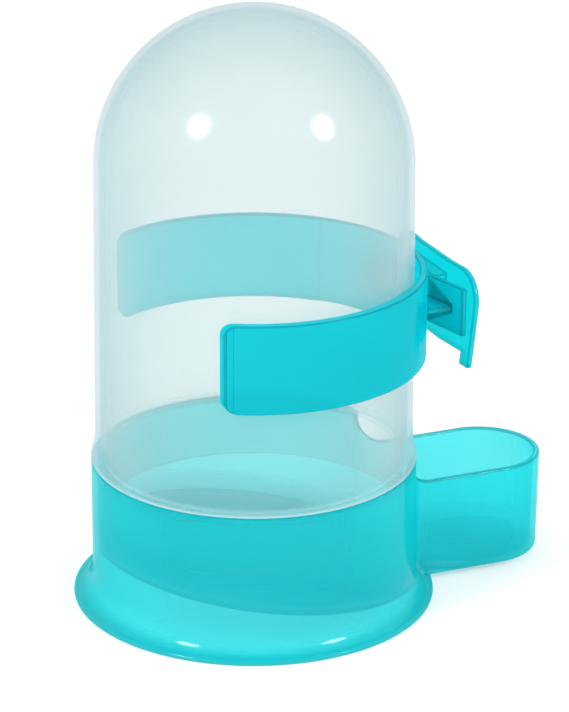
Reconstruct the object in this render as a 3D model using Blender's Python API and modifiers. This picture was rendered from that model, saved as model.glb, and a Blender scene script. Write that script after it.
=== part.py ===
"""Gravity drinker for small cage animals, modelled in metres with +Z up.

Three plastic mouldings: a domed bottle that stands mouth down in a base, the base with its
collar, sloping floor, flared hollow foot and drinking cup, and a spring clip round the bottle
that hooks on cage wires. The cup points along +X.
"""
import math

import bmesh
import bpy
from mathutils import Vector

# Bottle
TOTAL_HEIGHT = 0.1550
BOTTLE_RADIUS = 0.0399
BOTTLE_DRAFT = 0.0007
BOTTLE_WALL = 0.0014
LIP_FLARE_HEIGHT = 0.0065
LIP_BAND_HEIGHT = 0.0012
SPIGOT_DEPTH = 0.0160

# Base
COLLAR_RADIUS = 0.0416
COLLAR_WALL = 0.0016
COLLAR_HEIGHT = 0.0372
FOOT_RADIUS = 0.0466
FOOT_FLARE_HEIGHT = 0.0085
FOOT_EDGE_HEIGHT = 0.0014
FOOT_EDGE_WIDTH = 0.0018
FLOOR_SLOPE = math.radians(8.6)
FLOOR_THICKNESS = 0.0017

# Drinking cup, part of the base
CUP_REACH = 0.0805
CUP_WIDTH = 0.0304
CUP_RIM_HEIGHT = 0.0288
CUP_CLEAR_OF_GROUND = 0.0016
CUP_WALL = 0.0015
CUP_FLOOR_THICKNESS = 0.0016
CUP_DRAFT = math.radians(0.5)
CUP_BLEND_RADIUS = 0.0060
CUP_RIM_SWEEP = 0.0068
FLOOR_FOLD_REACH = 0.0575

# Clip
CLIP_BOTTOM = 0.0655
CLIP_HEIGHT = 0.0227
CLIP_THICKNESS = 0.0026
CLIP_ARM_ANGLE = math.radians(123.0)
CLIP_CORNER_RADIUS = 0.0030
CLIP_EDGE_ROUND = 0.0006
RELIEF_DEPTH = 0.0005
RELIEF_ANGLE = math.radians(43.0)
NECK_WIDTH = 0.0180
NECK_HEIGHT = 0.0116
FLANGE_STANDOFF = 0.0003
FLANGE_WIDTH = 0.0450
FLANGE_HEIGHT = 0.0126
FLANGE_THICKNESS = 0.0014
FLANGE_SWEEP = math.radians(13.5)
GUSSET_WIDTH = 0.0370
GUSSET_THICKNESS = 0.0016
WIRE_SLOT = 0.0034
HOOK_WIDTH = 0.0470
HOOK_RISE = 0.0093
HOOK_DROP = 0.0116
HOOK_THICKNESS = 0.0015
HOOK_TILT = math.radians(6.0)
HOOK_SWEEP = math.radians(5.0)
HOOK_CORNER_RADIUS = 0.0085
HOOK_LEG_WIDTH = 0.0040
HOOK_LEG_DROP = 0.0032

# Fits between the mouldings
SPIGOT_CLEARANCE = 0.0003
SEAT_CLEARANCE = 0.0003
CLIP_CLEARANCE = 0.0003

# Facets and the overlap that cutters and joined solids need
TURN_STEPS = 72
ARC_STEPS = 8
CUT_MARGIN = 0.0080

# Sizes that follow from the ones above
AXIS_X = (FOOT_RADIUS - CUP_REACH) / 2
SPIGOT_RADIUS = COLLAR_RADIUS - COLLAR_WALL - SPIGOT_CLEARANCE
LIP_BOTTOM = COLLAR_HEIGHT + SEAT_CLEARANCE
CUP_FLOOR_TOP = CUP_CLEAR_OF_GROUND + CUP_FLOOR_THICKNESS
CLIP_INNER_RADIUS = BOTTLE_RADIUS + BOTTLE_DRAFT + CLIP_CLEARANCE
CLIP_OUTER_RADIUS = CLIP_INNER_RADIUS + CLIP_THICKNESS
CLIP_MIDDLE_HEIGHT = CLIP_BOTTOM + CLIP_HEIGHT / 2
CLIP_ROOT_RADIUS = CLIP_OUTER_RADIUS - (CLIP_THICKNESS - RELIEF_DEPTH) / 2
FLANGE_FACE = CLIP_OUTER_RADIUS + FLANGE_STANDOFF
HOOK_FACE = FLANGE_FACE + FLANGE_THICKNESS + WIRE_SLOT


def arc(centre, radius, start, end, steps=ARC_STEPS):
    """Points of a circular arc in a plane, both ends included."""
    points = []
    for step in range(steps + 1):
        angle = start + (end - start) * step / steps
        points.append((centre[0] + radius * math.cos(angle), centre[1] + radius * math.sin(angle)))
    return points


def plastic(name, colour, roughness):
    material = bpy.data.materials.new(name)
    material.use_nodes = True
    shader = material.node_tree.nodes["Principled BSDF"]
    shader.inputs["Base Color"].default_value = (*colour, 1.0)
    shader.inputs["Roughness"].default_value = roughness
    shader.inputs["Metallic"].default_value = 0.0
    return material


def add_object(name, mesh, collection, axis):
    item = bpy.data.objects.new(name, mesh)
    item.parent = axis
    collection.objects.link(item)
    return item


def turned(name, profile, collection, axis):
    """A profile of (radius, height) points, turned about the bottle's axis."""
    mesh = bpy.data.meshes.new(name)
    edges = [(index, index + 1) for index in range(len(profile) - 1)]
    mesh.from_pydata([(radius, 0.0, height) for radius, height in profile], edges, [])
    item = add_object(name, mesh, collection, axis)
    screw = item.modifiers.new("turn", "SCREW")
    screw.axis = "Z"
    screw.steps = TURN_STEPS
    screw.render_steps = TURN_STEPS
    screw.use_merge_vertices = True
    screw.merge_threshold = 0.00001
    screw.use_smooth_shade = True
    return item


def finished(shape, name, collection, axis):
    """An object from a closed shape, with its faces turned out."""
    bmesh.ops.recalc_face_normals(shape, faces=shape.faces)
    mesh = bpy.data.meshes.new(name)
    shape.to_mesh(mesh)
    shape.free()
    return add_object(name, mesh, collection, axis)


def lofted(name, lower, upper, collection, axis):
    """A closed solid between two loops that have as many points each."""
    shape = bmesh.new()
    bottom = [shape.verts.new(point) for point in lower]
    top = [shape.verts.new(point) for point in upper]
    shape.faces.new(bottom)
    shape.faces.new(top)
    for index in range(len(bottom)):
        after = (index + 1) % len(bottom)
        shape.faces.new((bottom[index], bottom[after], top[after], top[index]))
    return finished(shape, name, collection, axis)


def extrude(shape, offset):
    """Grows every face of a flat sheet into a solid along an offset."""
    grown = bmesh.ops.extrude_face_region(shape, geom=shape.faces[:])
    moved = [item for item in grown["geom"] if isinstance(item, bmesh.types.BMVert)]
    bmesh.ops.translate(shape, verts=moved, vec=offset)


def upright(name, outline, low, high, collection, axis):
    """A plan outline carried straight up from one height to another."""
    shape = bmesh.new()
    shape.faces.new([shape.verts.new((x, y, low)) for x, y in outline])
    extrude(shape, (0.0, 0.0, high - low))
    return finished(shape, name, collection, axis)


def crosswise(name, profile, half_width, collection, axis):
    """A side profile of (x, z) points carried across the part along Y."""
    shape = bmesh.new()
    shape.faces.new([shape.verts.new((x, -half_width, z)) for x, z in profile])
    extrude(shape, (0.0, 2 * half_width, 0.0))
    return finished(shape, name, collection, axis)


def floor_side(name, above, collection, axis):
    """A block that fills one side of the sloping floor: above its underside or below its top."""
    size = 6 * COLLAR_RADIUS
    normal = Vector((math.sin(FLOOR_SLOPE), 0.0, math.cos(FLOOR_SLOPE)))
    fold = Vector((FLOOR_FOLD_REACH, 0.0, CUP_FLOOR_TOP))
    if above:
        centre = fold + normal * (size / 2 - FLOOR_THICKNESS)
    else:
        centre = fold - normal * size / 2
    shape = bmesh.new()
    bmesh.ops.create_cube(shape, size=size)
    block = finished(shape, name, collection, axis)
    block.location = centre
    block.rotation_euler = (0.0, FLOOR_SLOPE, 0.0)
    return block


def combine(item, other, operation):
    boolean = item.modifiers.new(other.name, "BOOLEAN")
    boolean.operation = operation
    boolean.solver = "EXACT"
    boolean.object = other
    other.hide_render = True
    other.display_type = "WIRE"


def bottle_profile():
    """Down the outside from the top of the dome, then up the inside."""
    dome_height = TOTAL_HEIGHT - BOTTLE_RADIUS
    flare_bottom = LIP_BOTTOM + LIP_BAND_HEIGHT
    flare_top = flare_bottom + LIP_FLARE_HEIGHT
    foot_of_wall = BOTTLE_RADIUS + BOTTLE_DRAFT
    dome_steps = 2 * ARC_STEPS
    outside = arc((0.0, dome_height), BOTTLE_RADIUS, math.pi / 2, 0.0, dome_steps)
    outside[0] = (0.0, TOTAL_HEIGHT)
    flare_steps = ARC_STEPS // 2
    for step in range(flare_steps + 1):
        share = step / flare_steps
        radius = foot_of_wall + (COLLAR_RADIUS - foot_of_wall) * share * share
        outside.append((radius, flare_top - LIP_FLARE_HEIGHT * share))
    outside.append((COLLAR_RADIUS, LIP_BOTTOM))
    outside.append((SPIGOT_RADIUS, LIP_BOTTOM))
    outside.append((SPIGOT_RADIUS, LIP_BOTTOM - SPIGOT_DEPTH))
    inside = [
        (SPIGOT_RADIUS - BOTTLE_WALL, LIP_BOTTOM - SPIGOT_DEPTH),
        (SPIGOT_RADIUS - BOTTLE_WALL, LIP_BOTTOM),
        (foot_of_wall - BOTTLE_WALL, flare_top),
    ]
    inside += arc((0.0, dome_height), BOTTLE_RADIUS - BOTTLE_WALL, 0.0, math.pi / 2, dome_steps)
    inside[-1] = (0.0, TOTAL_HEIGHT - BOTTLE_WALL)
    return outside + inside


def flare(top_radius, edge_radius, edge_height, top_height):
    """Concave sweep of the foot, from the upright collar out to the foot's edge."""
    points = []
    for step in range(ARC_STEPS + 1):
        angle = math.pi / 2 * step / ARC_STEPS
        radius = top_radius + (edge_radius - top_radius) * (1 - math.cos(angle))
        height = top_height - (top_height - edge_height) * math.sin(angle)
        points.append((radius, height))
    return points


def foot_profile():
    """Outside of collar and foot, closed on the axis at the top and the bottom."""
    rounding = FOOT_EDGE_HEIGHT / 2
    edge = FOOT_RADIUS - rounding
    profile = [(0.0, COLLAR_HEIGHT), (COLLAR_RADIUS, COLLAR_HEIGHT)]
    profile += flare(COLLAR_RADIUS, edge, FOOT_EDGE_HEIGHT, FOOT_FLARE_HEIGHT)
    profile += arc((edge, rounding), rounding, math.pi / 2, -math.pi / 2, ARC_STEPS)[1:]
    profile.append((0.0, 0.0))
    return profile


def hollow_profile():
    """Space under the floor, inside the collar and the foot."""
    collar = COLLAR_RADIUS - COLLAR_WALL
    mouth = FOOT_RADIUS - FOOT_EDGE_WIDTH
    profile = [(0.0, COLLAR_HEIGHT), (collar, COLLAR_HEIGHT)]
    profile += flare(collar, mouth, 0.0, FOOT_FLARE_HEIGHT - FOOT_EDGE_HEIGHT)
    profile += [(mouth, -CUT_MARGIN), (0.0, -CUT_MARGIN)]
    return profile


def cup_size(height, inset):
    """Half width and reach of the cup at a height, drawn in by a wall's thickness."""
    drawn_in = math.tan(CUP_DRAFT) * (CUP_RIM_HEIGHT - height) + inset
    return CUP_WIDTH / 2 - drawn_in, CUP_REACH - drawn_in


def cup_outline(collar_radius, half_width, reach, blend):
    """Plan of the cup from one side of the collar round to the other, with blended corners."""
    blend_x = math.sqrt((collar_radius + blend) ** 2 - (half_width + blend) ** 2)
    blend_y = half_width + blend
    meets = math.atan2(blend_y, blend_x)
    near = arc((blend_x, -blend_y), blend, math.pi - meets, math.pi / 2)
    end = arc((reach - half_width, 0.0), half_width, -math.pi / 2, math.pi / 2, 2 * ARC_STEPS)
    far = arc((blend_x, blend_y), blend, -math.pi / 2, meets - math.pi)
    return near + end + far


def cup_body(collection, axis):
    """Solid of the cup, carried back into the collar that it is moulded with."""
    loops = []
    for height in (CUP_CLEAR_OF_GROUND, COLLAR_HEIGHT):
        half_width, reach = cup_size(height, 0.0)
        outline = cup_outline(COLLAR_RADIUS, half_width, reach, CUP_BLEND_RADIUS)
        root = COLLAR_RADIUS / 2
        outline += [(root, half_width), (root, -half_width)]
        loops.append([(x, y, height) for x, y in outline])
    return lofted("cup_body", loops[0], loops[1], collection, axis)


def water_space(collection, axis):
    """Inside of collar and cup, down to the sloping floor and the cup's level floor."""
    inner = COLLAR_RADIUS - COLLAR_WALL
    loops = []
    for height in (CUP_FLOOR_TOP, COLLAR_HEIGHT + CUT_MARGIN):
        half_width, reach = cup_size(height, CUP_WALL)
        outline = cup_outline(inner, half_width, reach, CUP_BLEND_RADIUS + CUP_WALL)
        start = math.atan2(outline[-1][1], outline[-1][0])
        back = arc((0.0, 0.0), inner, start, 2 * math.pi - start, TURN_STEPS)
        loops.append([(x, y, height) for x, y in outline + back[1:-1]])
    space = lofted("water_space", loops[0], loops[1], collection, axis)
    combine(space, floor_side("below_floor", False, collection, axis), "DIFFERENCE")
    return space


def rim_cut(collection, axis):
    """Lowers the rim from the collar to the cup, with a hollow sweep between the two."""
    half_width, reach = cup_size(CUP_RIM_HEIGHT, 0.0)
    outline = cup_outline(COLLAR_RADIUS, half_width, reach, CUP_BLEND_RADIUS)
    start = outline[0][0] - CUP_WALL / 4
    top = COLLAR_HEIGHT + CUT_MARGIN
    sweep_centre = (start + CUP_RIM_SWEEP, CUP_RIM_HEIGHT + CUP_RIM_SWEEP)
    profile = [(start, top)]
    profile += arc(sweep_centre, CUP_RIM_SWEEP, math.pi, math.pi * 1.5)
    profile += [(CUP_REACH + CUT_MARGIN, CUP_RIM_HEIGHT), (CUP_REACH + CUT_MARGIN, top)]
    return crosswise("rim_cut", profile, COLLAR_RADIUS, collection, axis)


def clip_ring_profile():
    """Section of the ring, with its two outer edges rounded."""
    top = CLIP_BOTTOM + CLIP_HEIGHT
    edge = CLIP_OUTER_RADIUS - CLIP_EDGE_ROUND
    round_steps = ARC_STEPS // 2
    upper = (edge, top - CLIP_EDGE_ROUND)
    lower = (edge, CLIP_BOTTOM + CLIP_EDGE_ROUND)
    profile = [(CLIP_INNER_RADIUS, top)]
    profile += arc(upper, CLIP_EDGE_ROUND, math.pi / 2, 0.0, round_steps)
    profile += arc(lower, CLIP_EDGE_ROUND, 0.0, -math.pi / 2, round_steps)
    profile += [(CLIP_INNER_RADIUS, CLIP_BOTTOM), (CLIP_INNER_RADIUS, top)]
    return profile


def clip_opening(collection, axis):
    """Opens the ring into two arms and rounds the corners of their ends."""
    tip = CLIP_ROOT_RADIUS * math.cos(CLIP_ARM_ANGLE)
    top = CLIP_BOTTOM + CLIP_HEIGHT
    inner = tip + CLIP_CORNER_RADIUS
    lower = (inner, CLIP_BOTTOM + CLIP_CORNER_RADIUS)
    upper = (inner, top - CLIP_CORNER_RADIUS)
    back = -CLIP_OUTER_RADIUS - CUT_MARGIN
    profile = [(back, CLIP_BOTTOM - CUT_MARGIN), (inner, CLIP_BOTTOM - CUT_MARGIN)]
    profile += arc(lower, CLIP_CORNER_RADIUS, math.pi * 1.5, math.pi)
    profile += arc(upper, CLIP_CORNER_RADIUS, math.pi, math.pi / 2)
    profile += [(inner, top + CUT_MARGIN), (back, top + CUT_MARGIN)]
    return crosswise("clip_opening", profile, CLIP_OUTER_RADIUS + CUT_MARGIN, collection, axis)


def clip_relief(collection, axis):
    """Thins the ring from inside beside the neck, so that the arms can spring."""
    outer = CLIP_INNER_RADIUS + RELIEF_DEPTH
    inner = CLIP_INNER_RADIUS - CUT_MARGIN / 2
    outline = arc((0.0, 0.0), outer, -RELIEF_ANGLE, RELIEF_ANGLE, 2 * ARC_STEPS)
    outline += arc((0.0, 0.0), inner, RELIEF_ANGLE, -RELIEF_ANGLE, 2 * ARC_STEPS)
    top = CLIP_BOTTOM + CLIP_HEIGHT + CUT_MARGIN
    return upright("clip_relief", outline, CLIP_BOTTOM - CUT_MARGIN, top, collection, axis)


def hook_face(height):
    """Distance of the hook plate's inner face from the axis, at the middle of the plate."""
    return HOOK_FACE + math.tan(HOOK_TILT) * (height - CLIP_MIDDLE_HEIGHT)


def ring_root(half_width):
    """Arc inside the ring's wall that a web grows from."""
    spread = math.asin(half_width / CLIP_ROOT_RADIUS)
    return arc((0.0, 0.0), CLIP_ROOT_RADIUS, -spread, spread)


def clip_neck(collection, axis):
    """Block that carries the flange and the hook plate on the ring."""
    loops = []
    for height in (CLIP_MIDDLE_HEIGHT - NECK_HEIGHT / 2, CLIP_MIDDLE_HEIGHT + NECK_HEIGHT / 2):
        end = hook_face(height) + HOOK_THICKNESS / 2
        outline = ring_root(NECK_WIDTH / 2) + [(end, NECK_WIDTH / 2), (end, -NECK_WIDTH / 2)]
        loops.append([(x, y, height) for x, y in outline])
    return lofted("clip_neck", loops[0], loops[1], collection, axis)


def flange_face(width):
    """Distance of the flange's inner face from the axis, at a distance from its middle."""
    return FLANGE_FACE + math.tan(FLANGE_SWEEP) * max(0.0, width - NECK_WIDTH / 2)


def clip_flange(collection, axis):
    """Flange on the bottle's side of the wires, with its wings swept out."""
    stations = (-FLANGE_WIDTH / 2, -NECK_WIDTH / 2, NECK_WIDTH / 2, FLANGE_WIDTH / 2)
    face = [(flange_face(abs(y)), y) for y in stations]
    back = [(x + FLANGE_THICKNESS, y) for x, y in reversed(face)]
    low = CLIP_MIDDLE_HEIGHT - FLANGE_HEIGHT / 2
    return upright("clip_flange", face + back, low, low + FLANGE_HEIGHT, collection, axis)


def clip_gusset(collection, axis):
    """Level web in the corners between the ring and the flange."""
    stations = (GUSSET_WIDTH / 2, NECK_WIDTH / 2, -NECK_WIDTH / 2, -GUSSET_WIDTH / 2)
    outline = ring_root(GUSSET_WIDTH / 2)
    outline += [(flange_face(abs(y)) + FLANGE_THICKNESS / 2, y) for y in stations]
    low = CLIP_MIDDLE_HEIGHT - GUSSET_THICKNESS / 2
    return upright("clip_gusset", outline, low, low + GUSSET_THICKNESS, collection, axis)


def hook_outline():
    """Outline of the hook plate as (y, z) points: round top corners and a leg at each end."""
    half_width = HOOK_WIDTH / 2
    top = CLIP_MIDDLE_HEIGHT + HOOK_RISE
    bottom = CLIP_MIDDLE_HEIGHT - HOOK_DROP
    leg = half_width - HOOK_LEG_WIDTH
    corner = (half_width - HOOK_CORNER_RADIUS, top - HOOK_CORNER_RADIUS)
    half = [(leg, bottom), (leg, bottom - HOOK_LEG_DROP), (half_width, bottom - HOOK_LEG_DROP)]
    half += arc(corner, HOOK_CORNER_RADIUS, 0.0, math.pi / 2)
    return half + [(-y, z) for y, z in reversed(half)]


def clip_hook(collection, axis):
    """Hook plate on the far side of the wires: leaning, with its wings bent outward."""
    shape = bmesh.new()
    shape.faces.new([shape.verts.new((0.0, y, z)) for y, z in hook_outline()])
    fold = NECK_WIDTH / 2
    for side in (-1.0, 1.0):
        geometry = shape.verts[:] + shape.edges[:] + shape.faces[:]
        bmesh.ops.bisect_plane(shape, geom=geometry, plane_co=(0.0, side * fold, 0.0),
                               plane_no=(0.0, 1.0, 0.0))
    for vertex in shape.verts:
        bend = math.tan(HOOK_SWEEP) * max(0.0, abs(vertex.co.y) - fold)
        vertex.co.x = hook_face(vertex.co.z) + bend
    extrude(shape, (HOOK_THICKNESS, 0.0, 0.0))
    return finished(shape, "clip_hook", collection, axis)


def build_bottle(parts, axis):
    bottle = turned("bottle", bottle_profile(), parts, axis)
    bottle.data.materials.append(plastic("frosted_plastic", (0.80, 0.87, 0.87), 0.35))


def build_base(parts, tools, axis):
    base = turned("base", foot_profile(), parts, axis)
    base.data.materials.append(plastic("teal_plastic_base", (0.01, 0.55, 0.60), 0.25))
    combine(base, cup_body(tools, axis), "UNION")
    combine(base, rim_cut(tools, axis), "DIFFERENCE")
    combine(base, water_space(tools, axis), "DIFFERENCE")
    hollow = turned("foot_hollow", hollow_profile(), tools, axis)
    combine(hollow, floor_side("above_floor", True, tools, axis), "DIFFERENCE")
    combine(base, hollow, "DIFFERENCE")


def build_clip(parts, tools, axis):
    clip = turned("clip", clip_ring_profile(), parts, axis)
    clip.data.materials.append(plastic("teal_plastic_clip", (0.01, 0.58, 0.64), 0.25))
    combine(clip, clip_opening(tools, axis), "DIFFERENCE")
    combine(clip, clip_relief(tools, axis), "DIFFERENCE")
    for web in (clip_neck, clip_gusset, clip_flange, clip_hook):
        combine(clip, web(tools, axis), "UNION")


def main():
    for item in list(bpy.data.objects):
        bpy.data.objects.remove(item)
    parts = bpy.data.collections.new("gravity_drinker")
    tools = bpy.data.collections.new("cutters_and_webs")
    for collection in (parts, tools):
        bpy.context.scene.collection.children.link(collection)
    axis = bpy.data.objects.new("bottle_axis", None)
    axis.location = (AXIS_X, 0.0, 0.0)
    parts.objects.link(axis)
    build_bottle(parts, axis)
    build_base(parts, tools, axis)
    build_clip(parts, tools, axis)


main()
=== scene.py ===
"""Finished look of the clip-on cage drinker: bottle, base and clip in see-through plastic."""
import math

import bmesh
import bpy
from mathutils import Matrix, Vector


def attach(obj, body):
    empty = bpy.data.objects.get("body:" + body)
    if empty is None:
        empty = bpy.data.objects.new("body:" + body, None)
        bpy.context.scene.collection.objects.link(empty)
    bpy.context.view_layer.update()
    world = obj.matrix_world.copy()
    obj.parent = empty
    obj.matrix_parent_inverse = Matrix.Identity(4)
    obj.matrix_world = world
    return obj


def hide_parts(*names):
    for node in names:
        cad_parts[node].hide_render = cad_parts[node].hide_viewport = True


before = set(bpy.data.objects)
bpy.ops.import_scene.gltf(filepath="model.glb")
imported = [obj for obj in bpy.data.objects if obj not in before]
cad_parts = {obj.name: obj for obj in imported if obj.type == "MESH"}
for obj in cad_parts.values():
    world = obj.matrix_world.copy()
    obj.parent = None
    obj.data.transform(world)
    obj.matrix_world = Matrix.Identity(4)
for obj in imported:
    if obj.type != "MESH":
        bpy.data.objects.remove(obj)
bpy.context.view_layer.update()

# Sizes of the drinker in metres, as in its CAD model
TOTAL_HEIGHT = 0.1550
BOTTLE_RADIUS = 0.0399
BOTTLE_DRAFT = 0.0007
BOTTLE_WALL = 0.0014
LIP_FLARE_HEIGHT = 0.0065
LIP_BAND_HEIGHT = 0.0012
SPIGOT_DEPTH = 0.0160
COLLAR_RADIUS = 0.0416
COLLAR_WALL = 0.0016
COLLAR_HEIGHT = 0.0372
FOOT_RADIUS = 0.0466
FOOT_FLARE_HEIGHT = 0.0085
FOOT_EDGE_HEIGHT = 0.0014
FOOT_EDGE_WIDTH = 0.0018
FLOOR_SLOPE = math.radians(8.6)
FLOOR_THICKNESS = 0.0017
CUP_REACH = 0.0805
CUP_WIDTH = 0.0304
CUP_RIM_HEIGHT = 0.0288
CUP_CLEAR_OF_GROUND = 0.0016
CUP_WALL = 0.0015
CUP_FLOOR_THICKNESS = 0.0016
CUP_DRAFT = math.radians(0.5)
CUP_BLEND_RADIUS = 0.0060
CUP_RIM_SWEEP = 0.0068
FLOOR_FOLD_REACH = 0.0575
CLIP_BOTTOM = 0.0655
CLIP_HEIGHT = 0.0227
CLIP_THICKNESS = 0.0026
CLIP_ARM_ANGLE = math.radians(123.0)
CLIP_CORNER_RADIUS = 0.0030
RELIEF_DEPTH = 0.0005
RELIEF_ANGLE = math.radians(43.0)
NECK_WIDTH = 0.0180
NECK_HEIGHT = 0.0116
FLANGE_STANDOFF = 0.0003
FLANGE_WIDTH = 0.0450
FLANGE_HEIGHT = 0.0126
FLANGE_THICKNESS = 0.0014
FLANGE_SWEEP = math.radians(13.5)
GUSSET_WIDTH = 0.0370
GUSSET_THICKNESS = 0.0016
WIRE_SLOT = 0.0034
HOOK_WIDTH = 0.0470
HOOK_RISE = 0.0093
HOOK_DROP = 0.0116
HOOK_THICKNESS = 0.0015
HOOK_TILT = math.radians(6.0)
HOOK_SWEEP = math.radians(5.0)
HOOK_CORNER_RADIUS = 0.0085
HOOK_LEG_WIDTH = 0.0040
HOOK_LEG_DROP = 0.0032
FIT_CLEARANCE = 0.0003

# Roundings that the CAD model leaves sharp
LIP_ROUND = 0.0005
SPIGOT_ROUND = 0.0006
RIM_ROUND = 0.0005
CUP_BOTTOM_ROUND = 0.0014
CLIP_ROUND = 0.0004

# Grain of the plastics: noise scales per metre, wave height in metres
CLOUD_SCALE = 38.0
CLOUD_DETAIL = 3.0
CLOUD_RANGE = (0.32, 0.68)
CLOUD_DEPTH = 0.04
SPECK_SCALE = 420.0
SPECK_DETAIL = 2.0
SPECK_SPREAD = 0.2
FLOW_SCALE = 90.0
FLOW_DETAIL = 1.0
FLOW_STRETCH = (1.0, 1.0, 0.25)
FLOW_HEIGHT = 0.0002
FLOW_STRENGTH = 0.15
EDGE_BLEND = 0.5
EDGE_POWER = 1.7
BODY_SHINE = 0.1

# Facets of the round shapes
AROUND = 160
ARC_STEPS = 12
DOME_STEPS = 40
WALL_STEPS = 12
LIP_STEPS = 14
RISE_STEPS = 8
EDGE_STEPS = 6
LIP_CORNER_STEPS = 4
FOOT_EDGE_STEPS = 10
RIM_SWEEP_STEPS = 20
RELIEF_STEPS = 40
RIM_ROUND_STEPS = 4
CLIP_ROUND_STEPS = 3

# Distances at which points join, spare length of cutting shapes, and angles that tell edges apart
TURN_WELD = 0.000002
SEAM_WELD = 0.000004
CUT_MARGIN = 0.0080
SHARP_FROM = math.radians(32.0)
ROUND_FROM = math.radians(40.0)
LEVEL_SHARE = 0.3

# Sizes that follow
AXIS_X = (FOOT_RADIUS - CUP_REACH) / 2
SPIGOT_RADIUS = COLLAR_RADIUS - COLLAR_WALL - FIT_CLEARANCE
LIP_BOTTOM = COLLAR_HEIGHT + FIT_CLEARANCE
CUP_FLOOR_TOP = CUP_CLEAR_OF_GROUND + CUP_FLOOR_THICKNESS
CLIP_INNER_RADIUS = BOTTLE_RADIUS + BOTTLE_DRAFT + FIT_CLEARANCE
CLIP_OUTER_RADIUS = CLIP_INNER_RADIUS + CLIP_THICKNESS
CLIP_MIDDLE = CLIP_BOTTOM + CLIP_HEIGHT / 2
CLIP_TOP = CLIP_BOTTOM + CLIP_HEIGHT
CLIP_ROOT_RADIUS = CLIP_OUTER_RADIUS - (CLIP_THICKNESS - RELIEF_DEPTH) / 2
FLANGE_FACE = CLIP_OUTER_RADIUS + FLANGE_STANDOFF
HOOK_FACE = FLANGE_FACE + FLANGE_THICKNESS + WIRE_SLOT
CLIP_FRONT = AXIS_X + CLIP_OUTER_RADIUS

# Directions along which the plastics change, the mark on rounded edges, and the slot that finds them
ROUNDED = "rounded"
MARKER_SLOT = 1
UPWARD = (0.0, 0.0, 1.0)
# OUTWARD is the way along which the clip's painted shade is laid
OUTWARD = (1.0, 0.0, 0.0)
FLOOR_NORMAL = (math.sin(FLOOR_SLOPE), 0.0, math.cos(FLOOR_SLOPE))
# FLOOR_LEVEL is where the base's painted floor shade is measured from
FLOOR_LEVEL = (AXIS_X + FLOOR_FOLD_REACH) * FLOOR_NORMAL[0] + CUP_FLOOR_TOP * FLOOR_NORMAL[2]

# Camera, from the outlines in the photograph
PHOTO_LONG_SIDE = 712
SENSOR = 36.0
FOCAL_PIXELS = 3160.2
CAMERA_DISTANCE = 0.7995
CAMERA_ELEVATION = math.radians(20.95)
CAMERA_TURN = math.radians(23.26)
CAMERA_ROLL = math.radians(0.30)
CAMERA_AIM_RIGHT = 0.0077
CAMERA_AIM_HEIGHT = 0.0643
CAMERA_NEAR = 0.01
CAMERA_FAR = 20.0

# Studio: light from all round, pale floor and two lamps
SOFT_LIGHT = 0.94
FLOOR_REACH = 2.5
FLOOR_SEGMENTS = 96
FLOOR_GREY = 0.9
FLOOR_GLOW = 0.4
LAMP_DISTANCE = 1.2
LAMP_AIM_HEIGHT = 0.09


def arc(centre, radius, start, end, steps=ARC_STEPS):
    """Points of a circular arc in a plane, both ends included."""
    points = []
    for step in range(steps + 1):
        angle = start + (end - start) * step / steps
        points.append((centre[0] + radius * math.cos(angle), centre[1] + radius * math.sin(angle)))
    return points


def spread(start, end, steps):
    """Points along a straight line, without its first point."""
    line = []
    for step in range(1, steps + 1):
        share = step / steps
        line.append(tuple(a + (b - a) * share for a, b in zip(start, end)))
    return line


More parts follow.
